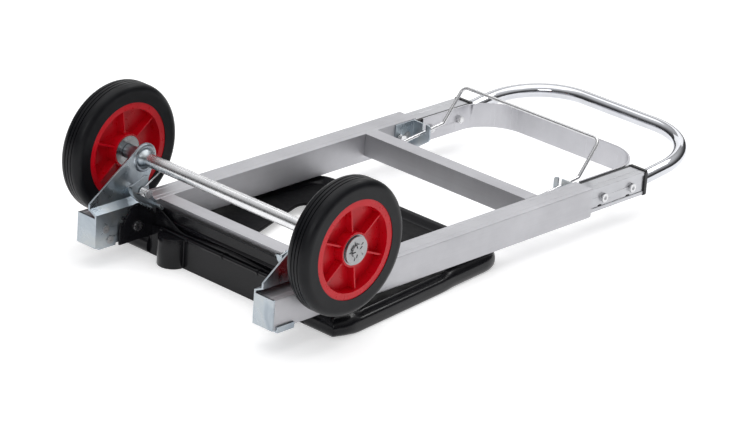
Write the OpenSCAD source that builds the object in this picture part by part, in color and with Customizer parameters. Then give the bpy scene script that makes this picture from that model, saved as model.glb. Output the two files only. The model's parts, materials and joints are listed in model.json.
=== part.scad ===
// Folding two-wheel hand truck, folded flat and lying on its toe plate.
// X runs across the truck (left wheel at -X), Y from the foot end to the handle, Z up.
// The origin is on the ground, under the middle of the folded truck.

/* [Rails] */
// Overall width across the outer faces of the two outer rails
frame_w = 300; // [270:1:340]
// Width of an outer rail
rail_w = 26.5; // [26:0.5:32]
// Height of an outer rail
rail_h = 35; // [34:0.5:42]
// Length of an outer rail
rail_l = 502; // [460:1:620]
// Wall of an outer rail
rail_wall = 1.5; // [1.2:0.1:2]
// Width of a long groove in a rail's top and bottom
groove_w = 1.2; // [0.6:0.1:2]
// Depth of a long groove
groove_d = 0.4; // [0.2:0.1:0.6]

/* [Crossbars] */
// Size of a crossbar along the truck
bar_l = 20; // [16:1:24]
// Height of a crossbar
bar_h = 27; // [22:1:32]
// Wall of a crossbar
bar_wall = 1.5; // [1.2:0.1:2.5]
// Distance from the foot end to the lower crossbar
lower_bar_y = 93; // [93:1:110]
// Distance from the rails' handle end back to the upper crossbar
upper_bar_in = 85; // [84:1:120]

/* [Wheels] */
// Outer diameter of a wheel
wheel_d = 150; // [130:1:180]
// Diameter of the red hub under the tyre
hub_d = 110; // [96:1:116]
// Width of a hub
hub_w = 28; // [24:1:34]
// How far the tyre's side stands proud of the hub's side
tyre_proud = 0.8; // [0.2:0.1:2]
// Distance from the foot end to the axle
axle_y = 75.5; // [70:0.5:85]
// How far the wheels reach down below the rails' top face
wheel_drop = 26; // [15:1:34]
// Diameter of the axle
axle_d = 10; // [8:0.5:12]
// Diameter of the tube over the axle
axle_tube_d = 15; // [13:0.5:18]
// Gap between an outer rail and its wheel
wheel_gap = 8.5; // [6:0.5:14]
// Width of the rim's edge band
rim_band = 7.5; // [6:0.5:10]
// Thickness of a hub's web
web_t = 4; // [3:0.5:8]
// Number of ribs on each side of a hub
rib_count = 6; // [4:1:8]
// Thickness of a rib
rib_t = 1.8; // [1.2:0.1:3]
// Diameter of a hub's centre boss
boss_d = 38; // [34:1:44]
// Diameter of the steel flange in a boss's face
flange_d = 34; // [28:1:34]
// Number of grooves in the tread
tread_grooves = 3; // [1:1:3]

/* [Brackets] */
// Thickness of the bracket sheet
sheet = 2.5; // [2:0.1:3]
// Length of a bracket along its rail
bracket_l = 80; // [72:1:88]
// Offset of the ear outside the bracket's wall
jog = 10.5; // [8:0.5:12]
// Radius of the ear's rounded top
ear_r = 17; // [14:0.5:20]

/* [Toe plate] */
// How far the toe plate reaches out past each rail at the hinge
toe_over = 24; // [16:1:30]
// How much each side of the toe plate draws in from hinge to tip
toe_taper = 30; // [10:1:40]
// Depth of the toe plate from hinge wall to tip
toe_l = 293; // [270:1:300]
// Height of the folded toe plate
toe_h = 22; // [18:1:26]
// Thickness of the toe plate's sheet
toe_t = 2; // [1.5:0.1:2.5]
// Gap between the folded toe plate and the rails
toe_gap = 3; // [3:0.5:6]
// Depth of the recessed panel under the rim
toe_recess = 8; // [4:0.5:10]
// Distance from the foot end to the fold pivot
pivot_y = 56.7; // [54:0.1:60]
// Height of the fold pivot over the rails' bottom face
pivot_rise = 13.9; // [12:0.1:16]
// Diameter of the pivot rivets
pivot_d = 8; // [6:0.5:10]
// Radius of the notched edge of an ear about the pivot
notch_edge_r = 26; // [24:0.5:28]
// Radius of the half-round bosses in the hinge channel
boss_r = 17; // [12:0.5:20]
// Distance of a boss's middle in from its ear
boss_in = 34; // [26:1:50]

/* [Latch] */
// Diameter of the latch pins
latch_pin_d = 6; // [5:0.5:7]
// Thickness of a latch lever
lever_t = 2.2; // [1.8:0.1:2.6]
// Height of the latch pins over the rails' top face
latch_rise = 20; // [18:0.5:24]

/* [Handle] */
// Width of an inner rail
inner_w = 20.9; // [20.5:0.1:20.9]
// Height of an inner rail
inner_h = 28; // [26:0.5:28.5]
// Length of an inner rail
inner_l = 479; // [440:1:490]
// How far an inner rail stands out of the outer rail when folded
inner_out = 95; // [90:1:110]
// Diameter of the handle tube
tube_d = 17; // [14:0.1:17]
// Wall of the handle tube
tube_wall = 1.2; // [1:0.1:1.6]
// Length of the handle from the middle of its held legs to the middle of its bar
handle_reach = 145; // [125:1:180]
// Bend radius of the handle's corners
handle_r = 82; // [60:1:100]
// Upward lean of the handle
handle_lean = 6.2; // [0:0.1:6.2]
// Distance from the end caps to the middle of the U brace
brace_reach = 36; // [30:1:60]
// Bend radius of the U brace
brace_r = 52; // [40:1:52]
// Thickness of the U brace
brace_t = 2.2; // [1.5:0.1:3]
// Height of the U brace
brace_h = 30; // [24:0.5:30]
// Length of a handle leg held in its inner rail, about the leg's middle
leg_in = 30; // [24:1:40]
// How far the handle's legs sit below the middle of the inner rails
handle_drop = 2.3; // [0:0.1:2.5]
// Diameter of the handle bolts
bolt_d = 6; // [5:0.5:8]
// Distance from the end caps back to the near bolts
bolt_near = 22; // [18:1:26]
// Distance from the end caps back to the far bolts
bolt_far = 71; // [60:1:76]

/* [Release bail] */
// Diameter of the bail wire
wire_d = 4; // [3:0.5:5]
// Distance of the bail's arms in from the rails' inner faces
bail_in = 18.5; // [15:0.5:28]
// Depth of the bail's hinge under the rails' top face
bail_sink = 18; // [15:0.5:20]
// Length of the bail from its hinge to its knee
bail_l = 93; // [80:1:110]
// Depth of the bail's knee under the rails' top face
knee_sink = 7.5; // [4:0.5:10]
// Length of the bail from its knee to its cross piece
bail_top_l = 32; // [24:1:44]
// Height of the bail over the rails' top face
bail_rise = 31; // [24:1:40]
// Distance from the bail's hinge to the lock brackets' flanges
lock_reach = 62; // [50:1:70]
// Diameter of the lock pins
lock_pin_d = 6; // [5:0.5:7]
// How far the handle pulls out before the lock pins drop in
handle_travel = 290; // [250:1:290]

/* [Fits] */
// Radial clearance of a turning shaft in its hole
run_fit = 0.05; // [0.02:0.01:0.1]
// Clearance on each side of a sliding part
slide_fit = 0.15; // [0.1:0.05:0.3]
// Gap between parts that move past each other
move_gap = 0.5; // [0.4:0.1:1]

/* [Hidden] */
$fn = 64;

rail_bottom = toe_h + toe_gap;
rail_top = rail_bottom + rail_h;
rail_x = frame_w / 2;
upper_bar_y = rail_l - upper_bar_in;
inner_face = rail_x - rail_w;
wall_x = inner_face - sheet;
axle_z = rail_top + wheel_d / 2 - wheel_drop;
wheel_x = rail_x + wheel_gap + hub_w / 2;
pivot_z = rail_bottom + pivot_rise;
ear_x = wall_x - move_gap - sheet;
cap_y = rail_l + inner_out;
cap_t = 4;
cover = sheet;
handle_y = cap_y - leg_in / 2;
foot_y = min(-cover, axle_y - wheel_d / 2);
end_y = handle_y + handle_reach * cos(handle_lean) + tube_d / 2;
mid_y = (end_y + foot_y) / 2;

// Inner rails
inner_mid_z = rail_bottom + rail_h / 2;
bush_wall = (rail_w - 2 * rail_wall - inner_w) / 2;
inner_x0 = inner_face + rail_wall + bush_wall;
side_wall = 1.5;
leg_gap = 0.1;
leg_x = inner_x0 + side_wall + tube_d / 2 + leg_gap;
face_recess = 1;
bolt_y = [cap_y - bolt_far, cap_y - bolt_near];
brace_x = inner_face - 1;

// Latch: pivot and tooth, the tooth stands just outside the ears' notched edge
latch_y = pivot_y + 1.3;
latch_z = rail_top + latch_rise;
tooth_a = 43.7;
tooth_gap = 0.4;
tooth_t = 2.6;
tooth_w = 8;
tooth_r = notch_edge_r + tooth_gap + tooth_t / 2;
tooth_y = pivot_y + tooth_r * cos(tooth_a);
tooth_z = pivot_z + tooth_r * sin(tooth_a);
lever_x = ear_x - move_gap - lever_t;
notch_w = 8.5;
notch_depth = 5;

// Toe plate levels and rows
toe_w = frame_w + 2 * toe_over;
toe_tip_w = toe_w - 2 * toe_taper;
toe_back_y = pivot_y + 17.3;
channel_y = toe_back_y + 4;
upstand_y = channel_y + 8;
ledge_z = rail_top - 26;
// The upstand's top edge swings clear of the lower crossbar
upstand_top = min(rail_top - 2, pivot_z + sqrt(pow(lower_bar_y - pivot_y - 2 * move_gap, 2)
    - pow(upstand_y + toe_t - pivot_y, 2)));
boss_x = ear_x - boss_in;
toe_tip_y = toe_back_y + toe_l;

// Release bail
bail_x = inner_face - bail_in;
bail_y = upper_bar_y + bar_l;
bail_z = rail_top - bail_sink;
bail_knee_y = bail_y + bail_l;
bail_knee_z = rail_top - knee_sink;
bail_top_y = bail_knee_y + bail_top_l;
bail_top_z = rail_top + bail_rise;
lock_y = bail_y + lock_reach;
lock_slot_z = bail_z + (bail_knee_z - bail_z) * (lock_y - bail_y) / (bail_knee_y - bail_y);

// ---------- helpers ----------

// Points of an arc about c
function arc(c, r, a0, a1, n = 10) =
    [for (i = [0:n]) let (a = a0 + (a1 - a0) * i / n) c + r * [cos(a), sin(a)]];

function unit(v) = v / norm(v);

// Rounds each corner p of an outline to its own radius; n steps a corner
function soften(pts, radii, n = 8) = [for (i = [0:len(pts) - 1])
    let (p = pts[i],
         u = unit(pts[(i + len(pts) - 1) % len(pts)] - p),
         v = unit(pts[(i + 1) % len(pts)] - p),
         half = acos(max(-1, min(1, u * v))) / 2,
         r = radii[i])
    for (q = r <= 0 ? [p] :
        let (c = p + unit(u + v) * r / sin(half),
             s = p + u * r / tan(half),
             e = p + v * r / tan(half),
             a0 = atan2(s[1] - c[1], s[0] - c[0]),
             turn = atan2(e[1] - c[1], e[0] - c[0]) - a0,
             sweep = turn > 180 ? turn - 360 : turn < -180 ? turn + 360 : turn)
        arc(c, r, a0, a0 + sweep, n)) q];

// Draws an outline given in Y and Z as a plate of thickness t from x
module plate_yz(x, t) {
    translate([x, 0, 0]) rotate([90, 0, 90]) linear_extrude(height = t) children();
}

// Draws an outline given in X and Z as a bar of length l from y
module bar_xz(y, l) {
    translate([0, y + l, 0]) rotate([90, 0, 0]) linear_extrude(height = l) children();
}

// Cylinder along X from x0 to x1
module rod_x(x0, x1, d, y, z) {
    translate([x0, y, z]) rotate([0, 90, 0]) cylinder(h = x1 - x0, d = d, $fn = 48);
}

// Right-hand part as drawn, left-hand part mirrored
module side(s) {
    if (s > 0) children();
    else mirror([1, 0, 0]) children();
}

// Ring profile turned about the X axis at wheel centre x
module turned_x(x, y, z) {
    translate([x, y, z]) rotate([0, 90, 0]) rotate_extrude($fn = 96) children();
}

// Ball at a kink of a round bar, a little fatter than the bar so that it closes the joint
module knuckle(x, p, d) {
    translate([x, p[0], p[1]]) sphere(d = d * 1.02, $fn = 48);
}

// Straight round bar from p in direction a, in a plane of constant x
module bar_along(x, p, a, l, d) {
    translate([x, p[0], p[1]]) rotate([a - 90, 0, 0]) cylinder(h = l, d = d, $fn = 48);
}

// Quarter bends at both ends of a cross piece of half width w, in the XY plane
module corners(w, r, d) {
    for (s = [-1, 1]) translate([s * (w - r), -r, 0]) rotate([0, 0, s > 0 ? 0 : 90])
        rotate_extrude(angle = 90, $fn = 96) translate([r, 0]) circle(d = d, $fn = 48);
}

module box(x0, x1, y0, y1, z0, z1) {
    translate([x0, y0, z0]) cube([x1 - x0, y1 - y0, z1 - z0]);
}

// ---------- rails and crossbars ----------

module rail_profile() {
    corner = 1;
    difference() {
        polygon(soften([[inner_face, rail_bottom], [rail_x, rail_bottom],
            [rail_x, rail_top], [inner_face, rail_top]], [corner, corner, corner, corner], 3));
        translate([inner_face + rail_wall, rail_bottom + rail_wall])
            square([rail_w - 2 * rail_wall, rail_h - 2 * rail_wall]);
        for (x = [-1, 1], z = [rail_bottom, rail_top - groove_d])
            translate([inner_face + rail_w / 2 + x * rail_w / 4 - groove_w / 2, z])
                square([groove_w, groove_d]);
    }
}

module rail_outer(s) {
    color("silver") side(s) difference() {
        bar_xz(0, rail_l) rail_profile();
        rod_x(inner_face - 1, inner_face + rail_wall + 1, lock_pin_d + 2 * run_fit, lock_pin_y,
            inner_mid_z);
    }
}

module crossbar(y) {
    bar_z0 = rail_top - bar_h;
    color("silver") difference() {
        box(-inner_face, inner_face, y, y + bar_l, bar_z0, rail_top);
        box(-inner_face - 1, inner_face + 1, y + bar_wall, y + bar_l - bar_wall,
            bar_z0 + bar_wall, rail_top - bar_wall);
        if (y == upper_bar_y) for (x = [-1, 1])
            translate([x * bail_x, y + bar_l - bar_wall - 1, bail_z]) rotate([-90, 0, 0])
                cylinder(h = bar_wall + 2, d = wire_d + 2 * move_gap);
    }
}

// ---------- axle brackets ----------

ear_plate_x = wall_x + jog;
ear_base_z = rail_top + 12;
// The jog's lower and upper bend, and how much later its inner face bends
jog_z0 = rail_top + 2.2;
jog_z1 = rail_top + 7;
jog_lag = 1.4;
// The front edge of the ear runs from its foot up to a tangent on the rounded top
ear_front = [-cover, rail_top + 14];
ear_axle = [axle_y, axle_z];
ear_dist = norm(ear_axle - ear_front);
ear_tangent = atan2(ear_axle[1] - ear_front[1], ear_axle[0] - ear_front[0])
    + asin(ear_r / ear_dist);

module bracket_sheet_profile() {
    polygon([[wall_x, rail_bottom], [inner_face, rail_bottom], [inner_face, jog_z0],
        [ear_plate_x + sheet, jog_z1], [ear_plate_x + sheet, ear_base_z],
        [ear_plate_x, ear_base_z], [ear_plate_x, jog_z1 + jog_lag], [wall_x, jog_z0 + jog_lag]]);
}

module ear_outline() {
    back_a = -20;
    polygon(concat(
        [[ear_front[0], ear_base_z], [bracket_l - cover, ear_base_z]],
        arc(ear_axle, ear_r, back_a, ear_tangent + 90, 16),
        [ear_front]));
}

module axle_bracket(s) {
    wrap_y0 = 3;
    wrap_y1 = 28;
    tab_h = 4.5;
    color("lightsteelblue") side(s) difference() {
        union() {
            bar_xz(-cover, bracket_l) bracket_sheet_profile();
            plate_yz(ear_plate_x, sheet) ear_outline();
            box(inner_face, rail_x, -cover, 0, rail_bottom, rail_top);
            box(wall_x, rail_x + sheet, wrap_y0, wrap_y1, rail_bottom - sheet, rail_bottom);
            box(rail_x, rail_x + sheet, wrap_y0, wrap_y1, rail_bottom, rail_bottom + tab_h);
        }
        rod_x(ear_plate_x - 1, ear_plate_x + sheet + 1, axle_d, axle_y, axle_z);
        rod_x(ear_plate_x - 1, ear_plate_x + sheet + 1, latch_pin_d, latch_y, latch_z);
        rod_x(wall_x - 1, inner_face + 1, pivot_d, pivot_y, pivot_z);
        for (p = bracket_rivet_at) rod_x(wall_x - 1, inner_face + 1, rivet_d, p[0], p[1]);
    }
}

rivet_d = 4.8;
rivet_head_d = 9;
rivet_head_t = 1.4;
bracket_rivet_at = [[12, rail_bottom + 20], [19, rail_bottom + 6]];

// Blind rivets: domed head on the bracket, shank through sheet and rail wall
module blind_rivet(x_head, x_end, y, z) {
    stem_d = 2.4;
    stem_depth = 0.6;
    x_face = x_head - rivet_head_t;
    rod_x(x_head, x_end, rivet_d, y, z);
    difference() {
        rod_x(x_face, x_head, rivet_head_d, y, z);
        rod_x(x_face - 1, x_face + stem_depth, stem_d, y, z);
    }
}

module bracket_rivets() {
    color("silver") for (s = [-1, 1], p = bracket_rivet_at) side(s)
        blind_rivet(wall_x, inner_face, p[0], p[1]);
}

// ---------- axle, sleeves and caps ----------

bush_face_in = wheel_x - hub_w / 2;
bush_face_out = wheel_x + hub_w / 2;
cap_gap = 0.5;
star_t = 2;

module axle_rod() {
    color("silver") rod_x(-bush_face_out - cap_gap, bush_face_out + cap_gap, axle_d,
        axle_y, axle_z);
}

module axle_tube() {
    color("lightsteelblue") difference() {
        rod_x(-ear_plate_x, ear_plate_x, axle_tube_d, axle_y, axle_z);
        rod_x(-ear_plate_x - 1, ear_plate_x + 1, axle_d, axle_y, axle_z);
    }
}

module axle_sleeve(s) {
    sleeve_d = axle_d + 6;
    color("silver") side(s) difference() {
        rod_x(ear_plate_x + sheet, bush_face_in - cap_gap, sleeve_d, axle_y, axle_z);
        rod_x(ear_plate_x, bush_face_in, axle_d, axle_y, axle_z);
    }
}

module star_cap(s) {
    star_d = 31;
    crown_d = 15;
    crown_t = 2;
    slit_w = 1.4;
    slit_l = 8;
    slit_r = 3.5;
    slits = 5;
    first_slit = 20;
    floor_t = 1.2;
    x0 = bush_face_out + cap_gap;
    color("gainsboro") side(s) difference() {
        union() {
            rod_x(x0, x0 + star_t, star_d, axle_y, axle_z);
            rod_x(x0 + star_t, x0 + star_t + crown_t, crown_d, axle_y, axle_z);
        }
        for (k = [0:slits - 1]) translate([x0 + floor_t, axle_y, axle_z])
            rotate([k * 360 / slits + first_slit, 0, 0]) translate([0, -slit_w / 2, slit_r])
                cube([star_t + crown_t, slit_w, slit_l]);
    }
}

// ---------- wheels ----------

module tyre(s) {
    half = hub_w / 2 + tyre_proud;
    r0 = hub_d / 2;
    r1 = wheel_d / 2;
    shoulder = min(9, (r1 - r0) / 2.2);
    pitch = 4.4;
    tread_w = 1.2;
    tread_d = 1.2;
    color("#26262a") side(s) turned_x(wheel_x, axle_y, axle_z) difference() {
        polygon(soften([[r0, -half], [r1, -half], [r1, half], [r0, half]],
            [0, shoulder, shoulder, 0], 8));
        for (k = [0:tread_grooves - 1])
            translate([r1 - tread_d, (k - (tread_grooves - 1) / 2) * pitch - tread_w / 2])
                square([tread_d + 1, tread_w]);
    }
}

module hub_section() {
    ring_r = hub_d / 2 - rim_band;
    difference() {
        translate([bush_r, -hub_w / 2]) square([hub_d / 2 - bush_r, hub_w]);
        for (m = [-1, 1]) translate([boss_d / 2, m > 0 ? web_t / 2 : -hub_w / 2 - 1])
            square([ring_r - boss_d / 2, hub_w / 2 - web_t / 2 + 1]);
        for (m = [-1, 1]) translate([bush_r - 1, m > 0 ? hub_w / 2 - flange_t : -hub_w / 2 - 1])
            square([flange_d / 2 - bush_r + 1, flange_t + 1]);
    }
}

// Steel bush in a hub's centre
bush_r = axle_d / 2 + 3;
flange_t = 1.5;

module wheel_hub(s) {
    ring_r = hub_d / 2 - rim_band;
    rib_drop = 2.5;
    rib_turn = 8;
    rib_root = 0.3;
    color("#c81424") side(s) {
        turned_x(wheel_x, axle_y, axle_z) hub_section();
        for (k = [0:rib_count - 1]) translate([wheel_x, axle_y, axle_z])
            rotate([k * 360 / rib_count + rib_turn, 0, 0])
                box(-hub_w / 2 + rib_drop, hub_w / 2 - rib_drop, -rib_t / 2, rib_t / 2,
                    boss_d / 2 - rib_root, ring_r + rib_root);
    }
}

module wheel_bush(s) {
    color("silver") side(s) turned_x(wheel_x, axle_y, axle_z) {
        bore = axle_d / 2 + run_fit;
        translate([bore, -hub_w / 2]) square([bush_r - bore, hub_w]);
        for (m = [-1, 1]) translate([bore, m > 0 ? hub_w / 2 - flange_t : -hub_w / 2])
            square([flange_d / 2 - bore, flange_t]);
    }
}

// ---------- toe plate ----------

// Half width of the plate at a distance y from the foot end
function toe_half(y) = toe_w / 2
    - (toe_w - toe_tip_w) / 2 * (y - toe_back_y) / toe_l;

// Outline with its back corners cut and its tip corners rounded
function toe_outline(inset, back, tip, r) =
    let (cut_y = back + corner_l, x_back = toe_half(back) - corner_in - inset,
         x_cut = toe_half(cut_y) - inset, x_tip = toe_half(tip) - inset)
    soften([[-x_back, back], [x_back, back], [x_cut, cut_y], [x_tip, tip], [-x_tip, tip],
        [-x_cut, cut_y]], [back_r, back_r, side_r, r, r, side_r], 8);

corner_in = 9;
corner_l = 20;
back_r = 1;
side_r = 8;

rim_w = 17;
tip_r = 28;
cut_near_y = toe_back_y + 76;
cut_far_y = toe_tip_y - 71;
cut_far_half = toe_tip_w / 2 - 46;
cut_near_half = cut_far_half - 48;
cut_near_r = 14;
cut_far_r = 22;

module toe_cut(grow, h) {
    linear_extrude(height = h) polygon(soften([
        [-cut_near_half - grow, cut_near_y - grow], [cut_near_half + grow, cut_near_y - grow],
        [cut_far_half + grow, cut_far_y + grow], [-cut_far_half - grow, cut_far_y + grow]],
        [cut_near_r + grow, cut_near_r + grow, cut_far_r + grow, cut_far_r + grow], 8));
}

module toe_plate() {
    panel_z = toe_h - toe_recess;
    rim_back = upstand_y + toe_t;
    panel_back = rim_back + 14;
    lip_drop = 6;
    color("#232226") difference() {
        linear_extrude(height = toe_h) polygon(toe_outline(0, toe_back_y, toe_tip_y, tip_r));
        // underside of the rim
        translate([0, 0, -1]) linear_extrude(height = panel_z - toe_t + 1)
            polygon(toe_outline(toe_t, toe_back_y + toe_t, toe_tip_y - toe_t, tip_r - toe_t));
        translate([0, 0, -1]) linear_extrude(height = toe_h - toe_t + 1) difference() {
            polygon(toe_outline(toe_t, toe_back_y + toe_t, toe_tip_y - toe_t, tip_r - toe_t));
            polygon(toe_outline(rim_w - toe_t, panel_back - toe_t, toe_tip_y - rim_w + toe_t,
                tip_r));
        }
        // recessed panel seen from above
        translate([0, 0, panel_z]) linear_extrude(height = toe_recess + 1)
            polygon(toe_outline(rim_w, panel_back, toe_tip_y - rim_w, tip_r - 6));
        // room for the hinge channel and the upstand
        box(-ear_x - sheet - move_gap, ear_x + sheet + move_gap, toe_back_y - 1,
            upstand_y + toe_t, -1, toe_h + 1);
        // cut-out
        translate([0, 0, -1]) toe_cut(0, toe_h + 2);
    }
    // lip turned down round the cut-out
    color("#232226") translate([0, 0, panel_z - toe_t - lip_drop]) difference() {
        toe_cut(toe_t, lip_drop);
        translate([0, 0, -1]) toe_cut(0, lip_drop + 2);
    }
}

// Wall that stands up behind the plate, between the ears
module toe_upstand() {
    bead_r = 2;
    bead_in = 16;
    bead_z = rail_top - 17;
    corner_r = 14;
    corner_out = 6;
    color("#232226") difference() {
        box(-ear_x, ear_x, upstand_y, upstand_y + toe_t, 0, upstand_top);
        for (s = [-1, 1]) side(s)
            translate([ear_x + corner_out, upstand_y - 1, upstand_top + corner_out])
                rotate([-90, 0, 0]) cylinder(h = toe_t + 2, r = corner_r);
    }
    color("#232226") intersection() {
        rod_x(-ear_x + bead_in, ear_x - bead_in, 2 * bead_r, upstand_y, bead_z);
        box(-ear_x, ear_x, upstand_y - bead_r, upstand_y, 0, upstand_top);
    }
}

// Hinge channel: front wall with two half-round bosses and a slotted ledge
module toe_channel() {
    slot_w = 44;
    slot_pitch = 50;
    slot_d = 3.4;
    ledge_t = 2;
    color("#232226") difference() {
        union() {
            box(-ear_x, ear_x, channel_y, channel_y + toe_t, 0, ledge_z);
            box(-ear_x, ear_x, channel_y, upstand_y, ledge_z - ledge_t, ledge_z);
            for (s = [-1, 1]) translate([s * boss_x, channel_y, 0])
                cylinder(h = ledge_z, r = boss_r);
        }
        for (s = [-1, 1]) translate([s * boss_x, channel_y + toe_t, -1])
            cylinder(h = ledge_z - ledge_t + 1, r = boss_r - toe_t);
        box(-ear_x - 1, ear_x + 1, upstand_y, upstand_y + 2 * boss_r, -1, ledge_z + 1);
        box(-ear_x - 1, ear_x + 1, channel_y + toe_t, upstand_y, -1, ledge_z - ledge_t);
        for (k = [-1:1]) box(k * slot_pitch - slot_w / 2, k * slot_pitch + slot_w / 2,
            channel_y + toe_t + 1, channel_y + toe_t + 1 + slot_d, ledge_z - ledge_t - 1,
            ledge_z + 1);
    }
}

// Ear: notched round edge about the pivot, straight bottom, joined to channel and upstand
module ear_plate_outline() {
    c = [pivot_y, pivot_z];
    wall_rise = 6;
    wall_a = 20;
    // Angle and width of the folded, the open and the small last notch
    notches = [[tooth_a, notch_w], [tooth_a + 90, notch_w], [tooth_a + 118, notch_w / 2]];
    difference() {
        union() {
            translate(c) circle(r = notch_edge_r, $fn = 96);
            polygon([[pivot_y - notch_edge_r, pivot_z], [pivot_y - notch_edge_r, toe_h],
                [pivot_y, toe_h], c]);
            polygon([[pivot_y, toe_h], [upstand_y + toe_t, toe_h],
                [upstand_y + toe_t, pivot_z + wall_rise],
                c + notch_edge_r * [cos(wall_a), sin(wall_a)], c]);
        }
        for (n = notches) translate(c) rotate(n[0])
            translate([notch_edge_r - notch_depth, -notch_w / 2])
                square([2 * notch_depth, n[1]]);
        translate([pivot_y - 2 * notch_edge_r, toe_h - 2 * notch_edge_r])
            square([4 * notch_edge_r, 2 * notch_edge_r]);
    }
}

module toe_ear(s) {
    color("#232226") side(s) difference() {
        union() {
            plate_yz(ear_x, sheet) ear_plate_outline();
            box(ear_x, ear_x + sheet, channel_y, upstand_y + toe_t, 0, toe_h);
        }
        rod_x(ear_x - 1, ear_x + sheet + 1, pivot_d + 2 * run_fit, pivot_y, pivot_z);
    }
}

module toe_pivot_rivets() {
    head_d = 12;
    head_t = 1.6;
    color("gray") for (s = [-1, 1]) side(s) {
        rod_x(ear_x - slide_fit, inner_face, pivot_d, pivot_y, pivot_z);
        rod_x(ear_x - slide_fit - head_t, ear_x - slide_fit, head_d, pivot_y, pivot_z);
    }
}

// ---------- latch levers ----------

pad_in = 12;

module lever_outline() {
    p = [latch_y, latch_z];
    t = [tooth_y, tooth_z];
    finger = p + [-26, 15];
    eye_r = 9;
    root_half = 6.5;
    finger_half = 7;
    down = unit(t - p);
    across = [-down[1], down[0]];
    up = unit(finger - p);
    side_up = [-up[1], up[0]];
    translate(p) circle(r = eye_r);
    polygon([p + across * (eye_r - 1), t + across * tooth_w / 2, t - across * tooth_w / 2,
        p - across * (eye_r - 1)]);
    polygon([p + side_up * root_half, finger + side_up * finger_half,
        finger - side_up * finger_half, p - side_up * root_half]);
}

module latch_lever(s) {
    color("lightsteelblue") side(s) difference() {
        union() {
            plate_yz(lever_x, lever_t) lever_outline();
            translate([lever_x - pad_in, tooth_y, tooth_z]) rotate([tooth_a, 0, 0])
                translate([0, -tooth_t / 2, -tooth_w / 2])
                    cube([pad_in + ear_x + sheet - lever_x, tooth_t, tooth_w]);
        }
        rod_x(lever_x - 1, lever_x + lever_t + 1, latch_pin_d + 2 * run_fit, latch_y, latch_z);
    }
}

// Torsion spring's coil beside the lever
coil_l = 9;
coil_gap = 0.6;

module latch_pin(s) {
    head_d = 10;
    head_t = 1.6;
    head_x = lever_x - coil_l - 2 * coil_gap;
    color("silver") side(s) {
        rod_x(head_x, ear_plate_x + sheet, latch_pin_d, latch_y, latch_z);
        rod_x(head_x - head_t, head_x, head_d, latch_y, latch_z);
    }
}

module latch_spring(s) {
    coil_d = latch_pin_d + 4.4;
    coil_bore = latch_pin_d + 0.4;
    color("gray") side(s) difference() {
        rod_x(lever_x - coil_l - coil_gap, lever_x - coil_gap, coil_d, latch_y, latch_z);
        rod_x(lever_x - coil_l - coil_gap - 1, lever_x + 1, coil_bore, latch_y, latch_z);
    }
}

// ---------- telescopic part ----------

module inner_profile() {
    z0 = inner_mid_z - inner_h / 2;
    x1 = inner_x0 + inner_w;
    recess_h = inner_h - 9;
    groove_share = 0.55;
    difference() {
        translate([inner_x0, z0]) square([inner_w, inner_h]);
        translate([inner_x0 + side_wall, z0 + side_wall])
            square([tube_d + 2 * leg_gap, inner_h - 2 * side_wall]);
        translate([x1 - face_recess, inner_mid_z - recess_h / 2])
            square([face_recess + 1, recess_h]);
        for (m = [0, 1]) translate([inner_x0 + inner_w * groove_share, m ? z0 + inner_h - groove_d : z0])
            square([groove_w, groove_d]);
    }
}

module rail_inner(s) {
    slot_l = 6;
    slot_h = 1.4;
    slot_back = 2;
    slot_z = inner_mid_z - 9;
    lock_hole_d = lock_pin_d + 1;
    color("gainsboro") side(s) difference() {
        bar_xz(cap_y - inner_l, inner_l) inner_profile();
        for (y = bolt_y) rod_x(inner_x0 - 1, inner_x0 + inner_w + 1, bolt_d, y, inner_mid_z);
        for (y = bolt_y) box(leg_x, inner_x0 + inner_w + 1, y - slot_back - slot_l,
            y - slot_back, slot_z, slot_z + slot_h);
        rod_x(inner_x0 - 1, inner_x0 + side_wall + 1, lock_hole_d, lock_pin_y - handle_travel,
            inner_mid_z);
    }
}

module rail_foot(s) {
    foot_l = 9;
    y1 = cap_y - inner_l;
    color("#303034") side(s) {
        box(inner_face + rail_wall + slide_fit, rail_x - rail_wall - slide_fit,
            y1 - foot_l, y1, rail_bottom + rail_wall + slide_fit,
            rail_top - rail_wall - slide_fit);
        box(inner_x0 + side_wall + slide_fit, inner_x0 + side_wall + tube_d,
            y1, y1 + foot_l, inner_mid_z - inner_h / 2 + side_wall + slide_fit,
            inner_mid_z + inner_h / 2 - side_wall - slide_fit);
    }
}

module guide_bush(s) {
    bush_l = 24;
    color("#303034") side(s) bar_xz(rail_l - bush_l, bush_l) difference() {
        translate([inner_face + rail_wall, rail_bottom + rail_wall])
            square([rail_w - 2 * rail_wall, rail_h - 2 * rail_wall]);
        translate([inner_x0 - slide_fit, inner_mid_z - inner_h / 2 - slide_fit])
            square([inner_w + 2 * slide_fit, inner_h + 2 * slide_fit]);
    }
}

module end_cap(s) {
    cap_grow = 1.2;
    z0 = inner_mid_z - inner_h / 2 - cap_grow;
    z1 = inner_mid_z + inner_h / 2 + cap_grow;
    strip_y0 = rail_l + move_gap;
    corner_r = 2;
    color("#1e1e20") side(s) difference() {
        union() {
            bar_xz(cap_y, cap_t) polygon(soften([[brace_x, z0],
                [inner_x0 + inner_w + cap_grow, z0], [inner_x0 + inner_w + cap_grow, z1],
                [brace_x, z1]], [corner_r, corner_r, corner_r, corner_r], 5));
            box(brace_x, inner_x0, strip_y0, cap_y, inner_mid_z - inner_h / 2,
                inner_mid_z + inner_h / 2);
        }
        handle_place() bar_along(leg_x, [0, 0], 0, leg_in, tube_d);
        for (y = bolt_y) rod_x(brace_x - 1, inner_x0 + 1, bolt_d, y, inner_mid_z);
    }
}

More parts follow.
